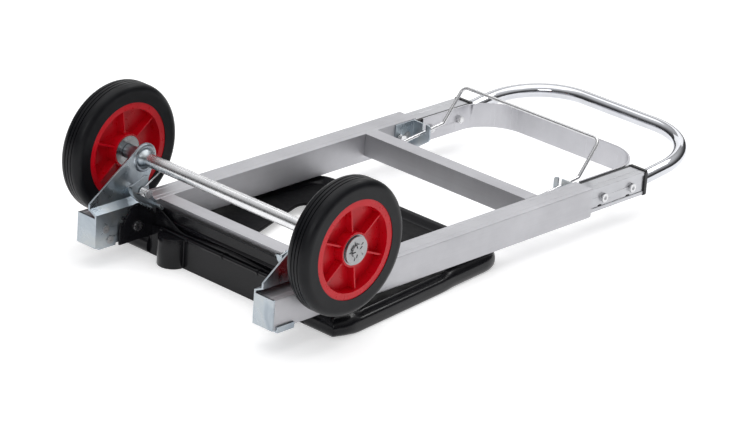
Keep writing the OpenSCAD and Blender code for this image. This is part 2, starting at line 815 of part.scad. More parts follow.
// U brace of flat bar between the two end caps
module brace() {
    y0 = rail_l + 10;
    y1 = cap_y + brace_reach;
    x = brace_x;
    color("#d4d4d8") difference() {
        translate([0, 0, inner_mid_z - brace_h / 2]) linear_extrude(height = brace_h)
            difference() {
                polygon(soften([[-x, y0], [x, y0], [x, y1], [-x, y1]],
                    [0, 0, brace_r, brace_r], 20));
                polygon(soften([[-x + brace_t, y0 - 1], [x - brace_t, y0 - 1],
                    [x - brace_t, y1 - brace_t], [-x + brace_t, y1 - brace_t]],
                    [0, 0, brace_r - brace_t, brace_r - brace_t], 20));
            }
        for (y = bolt_y) rod_x(-x - 1, x + 1, bolt_d, y, inner_mid_z);
    }
}

// Chrome handle: U in a plane that leans up from the end caps
module handle_place() {
    translate([0, handle_y, inner_mid_z - handle_drop]) rotate([handle_lean, 0, 0])
        children();
}

// Centre line of the U, drawn with its legs along Y from a little before the caps
module handle_u(d, extra) {
    for (s = [-1, 1])
        bar_along(s * leg_x, [-leg_in / 2 - extra, 0], 0,
            handle_reach - handle_r + leg_in / 2 + extra, d);
    translate([0, handle_reach, 0]) corners(leg_x, handle_r, d);
    rod_x(-leg_x + handle_r, leg_x - handle_r, d, handle_reach, 0);
}

// A point (y, z) of the truck as the leaning handle sees it
function in_handle(y, z) =
    let (v = [y - handle_y, z - inner_mid_z + handle_drop])
    [v[0] * cos(handle_lean) + v[1] * sin(handle_lean),
     v[1] * cos(handle_lean) - v[0] * sin(handle_lean)];

module handle_tube() {
    bolt_at = in_handle(bolt_y[1], inner_mid_z);
    color("lightgray") handle_place() difference() {
        handle_u(tube_d, 0);
        handle_u(tube_d - 2 * tube_wall, 1);
        for (s = [-1, 1]) side(s)
            rod_x(leg_x - tube_d, leg_x + tube_d, bolt_d, bolt_at[0], bolt_at[1]);
    }
}

bolt_head_t = 3.6;
bolt_head_d = 10;
nut_t = 4;
bolt_end = 1;

module handle_bolts() {
    x1 = inner_x0 + inner_w - face_recess;
    socket_d = 5;
    socket_depth = 1.6;
    color("silver") for (s = [-1, 1], y = bolt_y) side(s) {
        rod_x(brace_x - brace_t - nut_t - bolt_end, x1, bolt_d, y, inner_mid_z);
        difference() {
            rod_x(x1, x1 + bolt_head_t, bolt_head_d, y, inner_mid_z);
            translate([x1 + bolt_head_t - socket_depth, y, inner_mid_z])
                rotate([0, 90, 0]) cylinder(h = 2 * socket_depth, d = socket_d, $fn = 6);
        }
    }
}

module handle_nuts() {
    nut_w = 10;
    color("silver") for (s = [-1, 1], y = bolt_y) side(s) difference() {
        translate([brace_x - brace_t - nut_t, y, inner_mid_z]) rotate([0, 90, 0])
            cylinder(h = nut_t, d = nut_w, $fn = 6);
        rod_x(brace_x - 2 * nut_w, brace_x + 1, bolt_d, y, inner_mid_z);
    }
}

// ---------- lock brackets and release bail ----------

flange_in = bail_x - 9;
lock_t = 2;
lock_pin_in = 5;
lock_rivet_y = lock_y - 12;
lock_pin_y = lock_y - 25;

module lock_bracket(s) {
    t = lock_t;
    wall_l = 32;
    slot = wire_d + 2 * move_gap;
    z0 = rail_top - 28;
    z1 = rail_top - 1;
    tongue = 10;
    flange_low = z0 + 8;
    slot_h = 40;
    color("lightsteelblue") side(s) difference() {
        union() {
            box(inner_face - t, inner_face, lock_y - wall_l, lock_y, z0, z1);
            bar_xz(lock_y - t, t) polygon(soften([[inner_face - t, z0 - tongue],
                [inner_face, z0 - tongue], [inner_face, z1], [flange_in, z1],
                [flange_in, flange_low]], [0, 0, 0, 4, 6], 5));
        }
        rod_x(inner_face - t - 1, inner_face + 1, lock_pin_d + 2 * run_fit, lock_pin_y,
            inner_mid_z);
        rod_x(inner_face - t - 1, inner_face + 1, rivet_d, lock_rivet_y, inner_mid_z);
        translate([bail_x - slot / 2, lock_y - t - 1, lock_slot_z - slot / 2])
            cube([slot, t + 2, slot_h]);
    }
}

module lock_rivets() {
    color("silver") for (s = [-1, 1]) side(s)
        blind_rivet(inner_face - lock_t, inner_face, lock_rivet_y, inner_mid_z);
}

// Sprung pins that drop into the inner rails when the handle is out
module lock_pin(s) {
    head_d = 9;
    head_t = 2;
    pin_x = inner_face - lock_t - lock_pin_in;
    color("silver") side(s) {
        rod_x(pin_x, inner_x0 - slide_fit, lock_pin_d, lock_pin_y, inner_mid_z);
        rod_x(pin_x - head_t, pin_x, head_d, lock_pin_y, inner_mid_z);
    }
}

module bail_wire() {
    x = bail_x;
    inside = 4;
    corner_r = 8;
    knee = [bail_knee_y, bail_knee_z];
    arm = knee - [bail_y, bail_z];
    rise = [bail_top_y, bail_top_z] - knee;
    rise_a = atan2(rise[1], rise[0]);
    color("silver") {
        for (s = [-1, 1]) {
            bar_along(s * x, knee - arm - inside * unit(arm), atan2(arm[1], arm[0]),
                norm(arm) + inside, wire_d);
            knuckle(s * x, knee, wire_d);
        }
        translate([0, bail_knee_y, bail_knee_z]) rotate([rise_a, 0, 0]) {
            for (s = [-1, 1])
                bar_along(s * x, [0, 0], 0, norm(rise) - corner_r, wire_d);
            translate([0, norm(rise), 0]) corners(x, corner_r, wire_d);
            rod_x(-x + corner_r, x - corner_r, wire_d, norm(rise), 0);
        }
    }
}

// ---------- placing ----------

module place() {
    translate([0, -mid_y, 0]) children();
}

place() rail_outer(-1);  // rail_outer_left
place() rail_outer(1);  // rail_outer_right
place() crossbar(lower_bar_y);  // crossbar_lower
place() crossbar(upper_bar_y);  // crossbar_upper
place() axle_bracket(-1);  // axle_bracket_left
place() axle_bracket(1);  // axle_bracket_right
place() bracket_rivets();
place() axle_rod();
place() axle_tube();
place() axle_sleeve(-1);  // axle_sleeve_left
place() axle_sleeve(1);  // axle_sleeve_right
place() star_cap(-1);  // star_cap_left
place() star_cap(1);  // star_cap_right
place() toe_pivot_rivets();
place() latch_pin(-1);  // latch_pin_left
place() latch_pin(1);  // latch_pin_right
place() latch_spring(-1);  // latch_spring_left
place() latch_spring(1);  // latch_spring_right
place() guide_bush(-1);  // guide_bush_left
place() guide_bush(1);  // guide_bush_right
place() lock_bracket(-1);  // lock_bracket_left
place() lock_bracket(1);  // lock_bracket_right
place() lock_rivets();
place() lock_pin(-1);  // lock_pin_left
place() lock_pin(1);  // lock_pin_right
place() tyre(-1);  // tyre_left
place() tyre(1);  // tyre_right
place() wheel_hub(-1);  // wheel_hub_left
place() wheel_hub(1);  // wheel_hub_right
place() wheel_bush(-1);  // wheel_bush_left
place() wheel_bush(1);  // wheel_bush_right
place() toe_plate();
place() toe_upstand();
place() toe_channel();
place() toe_ear(-1);  // toe_ear_left
place() toe_ear(1);  // toe_ear_right
place() latch_lever(-1);  // latch_lever_left
place() latch_lever(1);  // latch_lever_right
place() rail_inner(-1);  // rail_inner_left
place() rail_inner(1);  // rail_inner_right
place() rail_foot(-1);  // rail_foot_left
place() rail_foot(1);  // rail_foot_right
place() end_cap(-1);  // end_cap_left
place() end_cap(1);  // end_cap_right
place() brace();
place() handle_tube();
place() handle_bolts();
place() handle_nuts();
place() bail_wire();
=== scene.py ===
"""Folding hand truck lying folded on its toe plate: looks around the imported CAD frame."""

import json
import math

import bmesh
import bpy
from mathutils import Matrix, Vector

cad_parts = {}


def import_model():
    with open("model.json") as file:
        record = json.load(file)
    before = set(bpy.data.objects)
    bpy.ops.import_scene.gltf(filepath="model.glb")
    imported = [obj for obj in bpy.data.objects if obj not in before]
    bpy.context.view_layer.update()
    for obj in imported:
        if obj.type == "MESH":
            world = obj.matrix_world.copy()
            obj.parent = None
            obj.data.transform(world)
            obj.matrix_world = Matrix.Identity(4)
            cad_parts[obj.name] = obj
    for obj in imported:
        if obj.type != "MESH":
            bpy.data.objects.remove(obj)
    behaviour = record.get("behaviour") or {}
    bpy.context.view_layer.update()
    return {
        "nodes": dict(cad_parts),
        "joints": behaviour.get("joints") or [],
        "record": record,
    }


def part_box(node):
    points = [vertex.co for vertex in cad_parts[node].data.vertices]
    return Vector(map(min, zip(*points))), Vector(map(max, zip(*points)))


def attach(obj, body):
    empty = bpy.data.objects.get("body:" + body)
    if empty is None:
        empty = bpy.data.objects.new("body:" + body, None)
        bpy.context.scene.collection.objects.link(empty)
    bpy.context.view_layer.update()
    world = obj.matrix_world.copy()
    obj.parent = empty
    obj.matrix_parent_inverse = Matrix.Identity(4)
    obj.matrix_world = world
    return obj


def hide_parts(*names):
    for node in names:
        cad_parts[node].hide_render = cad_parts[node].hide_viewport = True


MM = 0.001

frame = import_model()
nodes = frame["nodes"]
JOINTS = {j["name"]: j for j in frame["joints"]}
FOOT_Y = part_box("rail_outer_right")[0].y


def spot(x, y, z):
    """A point from millimetres across, along from the rails' foot end, and up from the ground."""
    return Vector((x * MM, FOOT_Y + y * MM, z * MM))


# ---------------------------------------------------------------- camera, light and floor

AZIMUTH, ELEVATION, ROLL = math.radians(42.26), math.radians(22.27), math.radians(4.05)
CAMERA_DISTANCE = 3.884
FOCAL_LENGTH = 170.7
AIM = Vector((0.04565, -0.10948, 0.060))


def camera():
    """Long lens from the foot end, a little above, tilted by the roll the picture has."""
    a, e, r = AZIMUTH, ELEVATION, ROLL
    back = Vector((math.sin(a) * math.cos(e), -math.cos(a) * math.cos(e), math.sin(e)))
    right = Vector((math.cos(a), math.sin(a), 0))
    up = back.cross(right)
    right, up = (right * math.cos(r) + up * math.sin(r), up * math.cos(r) - right * math.sin(r))
    data = bpy.data.cameras.new("camera")
    data.lens = FOCAL_LENGTH
    data.sensor_width = 36
    data.clip_end = 50
    cam = bpy.data.objects.new("camera", data)
    cam.matrix_world = Matrix.Translation(AIM + back * CAMERA_DISTANCE) @ Matrix(
        (right, up, back)).transposed().to_4x4()
    bpy.context.collection.objects.link(cam)
    bpy.context.scene.camera = cam


def area_light(name, place, aim, size, power):
    data = bpy.data.lights.new(name, "AREA")
    data.shape = "RECTANGLE"
    data.size, data.size_y = size
    data.energy = power
    light = bpy.data.objects.new(name, data)
    light.location = place
    light.rotation_euler = (Vector(aim) - Vector(place)).to_track_quat("-Z", "Y").to_euler()
    bpy.context.collection.objects.link(light)


def world():
    """A pale studio, bright overhead and darker low down, for bright metal to reflect."""
    w = bpy.data.worlds.new("studio")
    bpy.context.scene.world = w
    w.use_nodes = True
    nt = w.node_tree
    back = nt.nodes["Background"]
    coord = nt.nodes.new("ShaderNodeTexCoord")
    split = nt.nodes.new("ShaderNodeSeparateXYZ")
    shades = nt.nodes.new("ShaderNodeValToRGB")
    nt.links.new(coord.outputs["Generated"], split.inputs[0])
    nt.links.new(split.outputs["Z"], shades.inputs[0])
    nt.links.new(shades.outputs[0], back.inputs[0])
    stops = ((0.0, 0.06), (0.30, 0.09), (0.46, 0.30), (0.68, 0.82), (1.0, 1.0))
    elements = shades.color_ramp.elements
    for i, (place, grey) in enumerate(stops):
        e = elements[i] if i < 2 else elements.new(place)
        e.position = place
        e.color = (grey, grey, grey * 1.01, 1)
    back.inputs["Strength"].default_value = 0.85


def floor():
    bpy.ops.mesh.primitive_plane_add(size=24, location=(0, 0, 0))
    obj = bpy.context.object
    obj.name = "floor"
    m, nt, bsdf = new_material("floor_paper")
    tint = speckle(nt, 3.0, (0.80, 0.80, 0.805), (0.83, 0.83, 0.83))
    nt.links.new(tint, bsdf.inputs["Base Color"])
    bsdf.inputs["Roughness"].default_value = 0.9
    bsdf.inputs["Emission Color"].default_value = (1, 1, 1, 1)
    bsdf.inputs["Emission Strength"].default_value = 0.45
    obj.data.materials.append(m)


def dark_card(name, place, aim, width, height):
    """A dark panel beside the set, which bright metal reflects as a dark band."""
    bm = bmesh.new()
    bmesh.ops.create_grid(bm, x_segments=2, y_segments=2, size=0.5)
    mesh = bpy.data.meshes.new(name)
    bm.to_mesh(mesh)
    bm.free()
    card = bpy.data.objects.new(name, mesh)
    card.scale = (width, height, 1)
    card.location = place
    card.rotation_euler = (Vector(aim) - Vector(place)).to_track_quat("Z", "Y").to_euler()
    bpy.context.collection.objects.link(card)
    m, nt, bsdf = new_material(name + "_cloth")
    nt.links.new(speckle(nt, 8.0, (0.03, 0.03, 0.032), (0.05, 0.05, 0.052)),
                 bsdf.inputs["Base Color"])
    bsdf.inputs["Roughness"].default_value = 0.9
    mesh.materials.append(m)


def studio():
    camera()
    world()
    floor()
    area_light("overhead", (-0.2, 0.3, 2.4), (0, 0, 0), (2.8, 2.8), 25)
    area_light("front", (1.6, -2.6, 1.7), (0, 0, 0), (1.4, 1.0), 13)
    area_light("back", (-2.1, 2.3, 1.25), (0, 0, 0.05), (3.2, 1.1), 13)
    area_light("rim", (0.1, 1.9, 2.1), (0, 0, 0.05), (1.6, 0.25), 9)
    dark_card("card_right", (2.6, 0.9, 0.55), (0, 0, 0.1), 2.6, 0.9)
    dark_card("card_left", (-2.7, -0.5, 0.35), (0, 0, 0.1), 2.0, 0.6)
    dark_card("card_back", (0.9, 3.0, 0.35), (0, 0, 0.1), 1.8, 0.5)
    scene = bpy.context.scene
    scene.view_settings.view_transform = "Standard"
    scene.view_settings.look = "None"


# ---------------------------------------------------------------- material helpers

def new_material(name):
    m = bpy.data.materials.new(name)
    m.use_nodes = True
    nt = m.node_tree
    return m, nt, nt.nodes["Principled BSDF"]


def object_coords(nt, stretch=(1, 1, 1)):
    coord = nt.nodes.new("ShaderNodeTexCoord")
    mapping = nt.nodes.new("ShaderNodeMapping")
    mapping.inputs["Scale"].default_value = stretch
    nt.links.new(coord.outputs["Object"], mapping.inputs[0])
    return mapping.outputs[0]


def noise(nt, scale, detail=3.0, rough=0.5, stretch=(1, 1, 1), distortion=0.0):
    n = nt.nodes.new("ShaderNodeTexNoise")
    n.inputs["Scale"].default_value = scale
    n.inputs["Detail"].default_value = detail
    n.inputs["Roughness"].default_value = rough
    n.inputs["Distortion"].default_value = distortion
    nt.links.new(object_coords(nt, stretch), n.inputs["Vector"])
    return n.outputs[0]


def ramp(nt, value, stops):
    """Maps a value through (position, colour) stops; a plain number stands for a grey."""
    r = nt.nodes.new("ShaderNodeValToRGB")
    nt.links.new(value, r.inputs[0])
    for i, (place, colour) in enumerate(stops):
        e = r.color_ramp.elements[i] if i < 2 else r.color_ramp.elements.new(place)
        e.position = place
        grey = isinstance(colour, (int, float))
        e.color = (colour, colour, colour, 1) if grey else (*colour, 1)
    return r.outputs[0]


def speckle(nt, scale, low, high, detail=4.0):
    return ramp(nt, noise(nt, scale, detail, 0.6), ((0.3, low), (0.7, high)))


def mix(nt, factor, a, b):
    """Mixes two colours (sockets or tuples) by a factor socket."""
    m = nt.nodes.new("ShaderNodeMix")
    m.data_type = "RGBA"
    nt.links.new(factor, m.inputs[0])
    for socket, value in ((m.inputs[6], a), (m.inputs[7], b)):
        if isinstance(value, tuple):
            socket.default_value = (*value, 1)
        else:
            nt.links.new(value, socket)
    return m.outputs[2]


def bump(nt, bsdf, height, strength, distance=0.0005):
    """Adds a height to the shader's normal, on top of any bump already there."""
    b = nt.nodes.new("ShaderNodeBump")
    b.inputs["Strength"].default_value = strength
    b.inputs["Distance"].default_value = distance
    nt.links.new(height, b.inputs["Height"])
    normal = bsdf.inputs["Normal"]
    if normal.is_linked:
        nt.links.new(normal.links[0].from_socket, b.inputs["Normal"])
    nt.links.new(b.outputs[0], normal)


# ---------------------------------------------------------------- materials

def aluminium(name, dark, light, rough, along="y", streak=0.25):
    """Drawn or rolled aluminium: fine lines along one axis and faint handling marks."""
    m, nt, bsdf = new_material(name)
    stretch = {"y": (600, 6, 600), "x": (6, 600, 600), "z": (600, 600, 6)}[along]
    lines = noise(nt, 1.0, 4.0, 0.7, stretch)
    clouds = noise(nt, 14.0, 5.0, 0.6)
    base = ramp(nt, clouds, ((0.32, dark), (0.68, light)))
    grime = ramp(nt, noise(nt, 60.0, 6.0, 0.7, (1, 0.3, 1)), ((0.62, 0.0), (0.8, 0.35)))
    shade = mix(nt, grime, base, tuple(c * 0.82 for c in dark))
    nt.links.new(shade, bsdf.inputs["Base Color"])
    bsdf.inputs["Metallic"].default_value = 1.0
    spread = ramp(nt, lines, ((0.2, rough - 0.06), (0.8, rough + 0.08)))
    nt.links.new(spread, bsdf.inputs["Roughness"])
    bump(nt, bsdf, lines, streak, 0.0001)
    return m


def zinc():
    """Blue-passivated zinc plate: cloudy blue and faint yellow, uneven gloss, fine scratches."""
    m, nt, bsdf = new_material("zinc_plate")
    clouds = noise(nt, 22.0, 5.0, 0.6, distortion=1.2)
    base = ramp(nt, clouds, ((0.28, (0.31, 0.355, 0.40)), (0.5, (0.42, 0.465, 0.50)),
                             (0.72, (0.50, 0.52, 0.515))))
    stain = ramp(nt, noise(nt, 75.0, 6.0, 0.7), ((0.6, 0.0), (0.78, 0.5)))
    nt.links.new(mix(nt, stain, base, (0.42, 0.45, 0.47)), bsdf.inputs["Base Color"])
    bsdf.inputs["Metallic"].default_value = 1.0
    gloss = ramp(nt, noise(nt, 40.0, 5.0, 0.65), ((0.3, 0.22), (0.7, 0.42)))
    nt.links.new(gloss, bsdf.inputs["Roughness"])
    bump(nt, bsdf, noise(nt, 300.0, 4.0, 0.7), 0.12, 0.0002)
    bump(nt, bsdf, noise(nt, 1.0, 3.0, 0.7, (90, 1400, 400)), 0.08, 0.0001)
    return m


def bright_steel(name="bright_steel", tone=0.66, rough=0.24, spread=0.04):
    m, nt, bsdf = new_material(name)
    clouds = noise(nt, 90.0, 4.0, 0.6)
    base = ramp(nt, clouds, ((0.3, (tone * 0.92, tone * 0.93, tone * 0.95)),
                             (0.7, (tone * 1.06, tone * 1.06, tone * 1.07))))
    nt.links.new(base, bsdf.inputs["Base Color"])
    bsdf.inputs["Metallic"].default_value = 1.0
    gloss = ramp(nt, noise(nt, 160.0, 5.0, 0.7),
                 ((0.3, rough - spread), (0.7, rough + 2 * spread)))
    nt.links.new(gloss, bsdf.inputs["Roughness"])
    bump(nt, bsdf, noise(nt, 700.0, 3.0, 0.6), 0.02, 0.0001)
    return m


def chrome():
    """Polished chrome with faint waviness, wipe marks and dust."""
    m, nt, bsdf = new_material("chrome_plate")
    nt.links.new(speckle(nt, 30.0, (0.56, 0.57, 0.60), (0.66, 0.67, 0.70)),
                 bsdf.inputs["Base Color"])
    bsdf.inputs["Metallic"].default_value = 1.0
    gloss = ramp(nt, noise(nt, 120.0, 6.0, 0.75), ((0.45, 0.05), (0.75, 0.16)))
    nt.links.new(gloss, bsdf.inputs["Roughness"])
    bump(nt, bsdf, noise(nt, 35.0, 2.0, 0.5), 0.05, 0.0004)
    return m


def rubber():
    """Black tyre rubber with a greyish bloom, dust in the tread and fine grain."""
    m, nt, bsdf = new_material("tyre_rubber")
    base = speckle(nt, 45.0, (0.003, 0.0033, 0.0045), (0.007, 0.0074, 0.0092), 5.0)
    dust = ramp(nt, noise(nt, 160.0, 6.0, 0.8), ((0.64, 0.0), (0.88, 0.25)))
    nt.links.new(mix(nt, dust, base, (0.020, 0.020, 0.022)), bsdf.inputs["Base Color"])
    bsdf.inputs["Specular IOR Level"].default_value = 0.20
    gloss = ramp(nt, noise(nt, 60.0, 4.0, 0.6), ((0.3, 0.30), (0.7, 0.44)))
    nt.links.new(gloss, bsdf.inputs["Roughness"])
    bump(nt, bsdf, noise(nt, 900.0, 3.0, 0.6), 0.07, 0.0002)
    return m


def red_plastic():
    """Moulded red plastic: satin, slightly uneven, faint flow lines."""
    m, nt, bsdf = new_material("red_moulding")
    flow = noise(nt, 26.0, 4.0, 0.5, distortion=1.5)
    nt.links.new(ramp(nt, flow, ((0.3, (0.52, 0.001, 0.008)), (0.7, (0.61, 0.002, 0.012)))),
                 bsdf.inputs["Base Color"])
    gloss = ramp(nt, noise(nt, 120.0, 5.0, 0.65), ((0.3, 0.24), (0.7, 0.40)))
    nt.links.new(gloss, bsdf.inputs["Roughness"])
    bsdf.inputs["Specular IOR Level"].default_value = 0.32
    bump(nt, bsdf, noise(nt, 60.0, 3.0, 0.5), 0.03, 0.0002)
    return m


def black_paint():
    """Black powder coat: orange peel, soft gloss, dusty scuffs."""
    m, nt, bsdf = new_material("black_powder_coat")
    base = speckle(nt, 30.0, (0.004, 0.004, 0.005), (0.008, 0.008, 0.010))
    scuff = ramp(nt, noise(nt, 55.0, 8.0, 0.8, (1, 0.4, 1)), ((0.62, 0.0), (0.82, 0.35)))
    nt.links.new(mix(nt, scuff, base, (0.024, 0.024, 0.027)), bsdf.inputs["Base Color"])
    gloss = ramp(nt, noise(nt, 48.0, 5.0, 0.65), ((0.3, 0.15), (0.7, 0.27)))
    nt.links.new(gloss, bsdf.inputs["Roughness"])
    bsdf.inputs["Specular IOR Level"].default_value = 0.24
    bump(nt, bsdf, noise(nt, 420.0, 2.0, 0.5), 0.08, 0.0003)
    return m


def recess_shade_paint():
    """The same black paint, duller, less reflective and without scuffs, on the sunk panel:
    painted shade that darkens the recess.
    """
    m, nt, bsdf = new_material("black_coat_recess_shade")
    nt.links.new(speckle(nt, 40.0, (0.003, 0.003, 0.004), (0.009, 0.009, 0.010)),
                 bsdf.inputs["Base Color"])
    gloss = ramp(nt, noise(nt, 90.0, 5.0, 0.65), ((0.3, 0.42), (0.7, 0.60)))
    nt.links.new(gloss, bsdf.inputs["Roughness"])
    bsdf.inputs["Specular IOR Level"].default_value = 0.10
    bump(nt, bsdf, noise(nt, 420.0, 2.0, 0.5), 0.10, 0.0003)
    return m


def black_plastic():
    m, nt, bsdf = new_material("black_moulding")
    nt.links.new(speckle(nt, 80.0, (0.010, 0.010, 0.011), (0.024, 0.024, 0.026)),
                 bsdf.inputs["Base Color"])
    gloss = ramp(nt, noise(nt, 200.0, 4.0, 0.6), ((0.3, 0.38), (0.7, 0.58)))
    nt.links.new(gloss, bsdf.inputs["Roughness"])
    bump(nt, bsdf, noise(nt, 1200.0, 2.0, 0.5), 0.20, 0.0002)
    return m


SATIN_DARK, SATIN_LIGHT = (0.49, 0.49, 0.512), (0.57, 0.57, 0.592)
BRIGHT_DARK, BRIGHT_LIGHT = (0.43, 0.435, 0.455), (0.51, 0.515, 0.535)
BRACE_DARK, BRACE_LIGHT = (0.46, 0.46, 0.485), (0.54, 0.54, 0.565)

MATERIALS = {
    "rail_aluminium": aluminium("rail_aluminium", SATIN_DARK, SATIN_LIGHT, 0.52),
    "crossbar": aluminium("crossbar_aluminium", SATIN_DARK, SATIN_LIGHT, 0.56, "x"),
    "inner_aluminium": aluminium("inner_aluminium", BRIGHT_DARK, BRIGHT_LIGHT, 0.30),
    "brace_aluminium": aluminium("brace_aluminium", BRACE_DARK, BRACE_LIGHT, 0.30, "z"),
    "zinc": zinc(),
    "bright_steel": bright_steel(),
    "cap": bright_steel("cap_steel", 0.34, 0.26, 0.08),
    "tube": bright_steel("tube_plate", 0.80, 0.26, 0.02),
    "rivet": bright_steel("rivet_metal", 0.40, 0.3),
    "tyre": rubber(),
    "red_plastic": red_plastic(),
    "black_paint": black_paint(),
    # painted shade: a duller black for the toe plate's sunk panel
    "recess_shade_paint": recess_shade_paint(),
    "black_plastic": black_plastic(),
    "chrome": chrome(),
}


def node_slots():
    return {s["node"]: s["material_slot"] for s in frame["record"]["subparts"]}


def paint(obj, key):
    obj.data.materials.clear()
    obj.data.materials.append(MATERIALS[key])


def bevel_edges(obj, width, angle):
    """Rounds every edge sharper than an angle in degrees."""
    bevel = obj.modifiers.new("bevel", "BEVEL")
    bevel.width = width
    bevel.segments = 2
    bevel.limit_method = "ANGLE"
    bevel.angle_limit = math.radians(angle)
    return bevel


def soften_edges(obj, width):
    """Weld and bevel, so that a CAD node's sharp edges catch the light."""
    weld = obj.modifiers.new("weld", "WELD")
    weld.merge_threshold = 1e-6
    bevel = bevel_edges(obj, width, 35)
    bevel.use_clamp_overlap = True
    bevel.harden_normals = True


# Edge rounding of the CAD nodes in millimetres, by the start of their names
EDGE_WIDTHS = {
    "axle_bracket": 0.5, "crossbar": 0.4, "star_cap": 0.3, "end_cap": 0.6,
    "lock_bracket": 0.4, "toe_ear": 0.5, "toe_channel": 0.7, "toe_upstand": 0.7, "brace": 0.4,
    "handle_bolts": 0.4, "handle_nuts": 0.3, "rail_inner": 0.3, "rail_outer": 0.25,
    "wheel_bush": 0.3, "bracket_rivets": 0.4, "lock_rivets": 0.4, "toe_pivot_rivets": 0.4,
    "latch_pin": 0.4, "lock_pin": 0.3,
}


# Nodes that look different from the rest of their slot
OTHER_PAINT = {"crossbar": "crossbar", "star_cap": "cap", "wheel_bush": "cap",
               "axle_tube": "tube"}


def dress_nodes():
    for name, slot in node_slots().items():
        key = next((k for start, k in OTHER_PAINT.items() if name.startswith(start)), slot)
        paint(nodes[name], key)
        for start, width in EDGE_WIDTHS.items():
            if name.startswith(start):
                soften_edges(nodes[name], width * MM)


# ---------------------------------------------------------------- mesh helpers

def add_rings(bm, rings):
    """Joins closed rings of equally many points with quads."""
    rows = [[bm.verts.new(p) for p in ring] for ring in rings]
    count = len(rows[0])
    for a, b in zip(rows, rows[1:]):
        for i in range(count):
            j = (i + 1) % count
            bm.faces.new((a[i], a[j], b[j], b[i]))
    return rows


def new_piece(name, bm, slot, body, replaced=(), smooth=35):
    """Turns a bmesh into a painted piece that rides on a body and stands for CAD nodes."""
    bmesh.ops.remove_doubles(bm, verts=bm.verts, dist=1e-6)
    bmesh.ops.recalc_face_normals(bm, faces=bm.faces)
    mesh = bpy.data.meshes.new(name)
    bm.to_mesh(mesh)
    bm.free()
    obj = bpy.data.objects.new(name, mesh)
    bpy.context.collection.objects.link(obj)
    mesh.materials.append(MATERIALS[slot])
    mesh.polygons.foreach_set("use_smooth", [True] * len(mesh.polygons))
    mesh.set_sharp_from_angle(angle=math.radians(smooth))
    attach(obj, body)
    if replaced:
        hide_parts(*replaced)
    return obj


def lathe_x(bm, axis, profile, count=48):
    """Turns (x, radius) points in metres about a line along X through the point axis."""
    turns = [math.tau * k / count for k in range(count)]
    add_rings(bm, [[Vector((x, axis.y + r * math.cos(a), axis.z + r * math.sin(a)))
                    for a in turns] for x, r in profile])


def tube(bm, path, radius, sides=10):
    """A round bar of constant radius along a path, with flat ends."""
    rings = []
    side = None
    for i, p in enumerate(path):
        run = (path[min(i + 1, len(path) - 1)] - path[max(i - 1, 0)]).normalized()
        if side is None:
            side = run.orthogonal().normalized()
        side = (side - run * side.dot(run)).normalized()
        other = run.cross(side)
        rings.append([p + radius * (side * math.cos(math.tau * k / sides)
                                    + other * math.sin(math.tau * k / sides))
                      for k in range(sides)])
    rows = add_rings(bm, rings)
    bm.faces.new(rows[0][::-1])
    bm.faces.new(rows[-1])


def smoothstep(low, high, v):
    t = min(max((v - low) / (high - low), 0.0), 1.0)
    return t * t * (3 - 2 * t)


# ---------------------------------------------------------------- pressed toe plate

TOE_LOW, TOE_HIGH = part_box("toe_plate")
TOE_BACK = (TOE_LOW.y - FOOT_Y) / MM
TOE_TIP = (TOE_HIGH.y - FOOT_Y) / MM
TOE_HALF = TOE_HIGH.x / MM
TOE_TOP = TOE_HIGH.z / MM
PANEL_Z = TOE_TOP - 8
SIDE_DRAW = 30
TAPER = SIDE_DRAW / (TOE_TIP - TOE_BACK)
CORNER_IN, CORNER_L = 9, 20
TIP_REACH = 34
# The middle of the back edge is cut away for the hinge channel, a little wider than the ears
HINGE_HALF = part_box("toe_ear_right")[1].x / MM + 0.5
HINGE_Y = TOE_BACK + 14
# Where along the truck the bead rises out of the edge and where it sinks back
BEAD_START = (TOE_BACK + 18, TOE_BACK + 34)
BEAD_END = (252, 280)
# The opening: its distances from the plate's back, tip and sides, and its corners' reach
OPENING_NEAR, OPENING_FAR, OPENING_SIDE, OPENING_DRAW = 74, 66, 40, 48
NEAR_REACH, FAR_REACH = 16, 24
SHEET = 1.6

# Inset and height of the pressed edge, as shares of the plate's height, where it has a bead
BEADED = ((2.5, 0), (1, .05), (0.2, .15), (0, .3), (0, .5), (0.3, .64), (1.4, .71), (2.8, .73),
          (3.8, .86), (5, .98), (6.4, 1), (8.4, .9), (11, .66), (22, .636))
# The same where the edge is a plain rounded lip
PLAIN = ((6, 0), (2.5, .06), (0.6, .2), (0, .38), (0.4, .56), (1.8, .74), (4.2, .88), (7.5, .97),
         (10, 1), (12, .985), (14.5, .9), (17, .76), (19.5, .66), (22, .636))


def toe_half(y):
    """Half width of the toe plate at a distance y from the foot end."""
    # the CAD box is as wide as the plate at the end of its cut back corner
    return TOE_HALF + TAPER * CORNER_L - TAPER * (y - TOE_BACK)


def curve(a, corner, b, count):
    """Points of the curve that rounds a corner between a and b."""
    steps = [k / max(count - 1, 1) for k in range(count)]
    return [a * (1 - t) ** 2 + corner * 2 * t * (1 - t) + b * t * t for t in steps]


